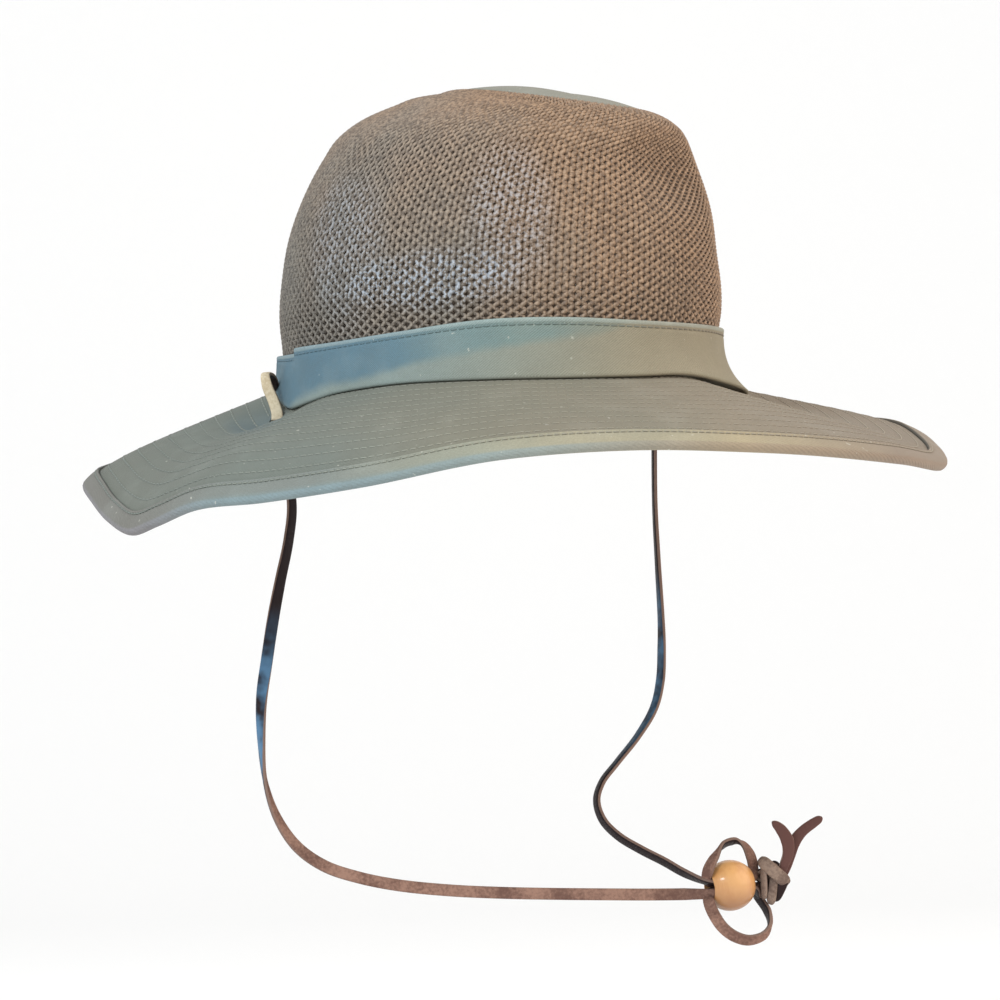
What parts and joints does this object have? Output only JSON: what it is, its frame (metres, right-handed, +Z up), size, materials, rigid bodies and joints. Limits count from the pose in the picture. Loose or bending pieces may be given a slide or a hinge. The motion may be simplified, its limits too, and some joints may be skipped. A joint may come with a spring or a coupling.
{
  "type": "safari hat",
  "caption": "Wide-brimmed safari hat with a net crown, canvas band and stitched canvas brim, and a leather chin lace with a sliding wooden bead.",
  "frame": {"origin": "middle of the head opening, at the level where the crown meets the brim", "axes": "+Z up out of the crown, -Y towards the front of the hat, -X to the wearer's right"},
  "size_m": [0.3257, 0.3617, 0.3402],
  "materials": {
    "net": "coarse knitted net of taupe yarn, matt with a slight waxy sheen",
    "canvas": "faded sage khaki cotton canvas, matt",
    "lace": "flat leather lace, tan suede on one face and smooth dark brown on the other",
    "bead": "turned honey-coloured wood under clear varnish"
  },
  "bodies": {
    "root": {"crown_mesh": "net", "crown_tip": "canvas", "hat_band": "canvas", "brim": "canvas", "brim_hem": "canvas", "lace_back": "lace", "lace_right": "lace", "lace_left": "lace", "bead": "bead", "knot": "lace", "tail_inner": "lace", "tail_outer": "lace"}
  },
  "joints": []
}
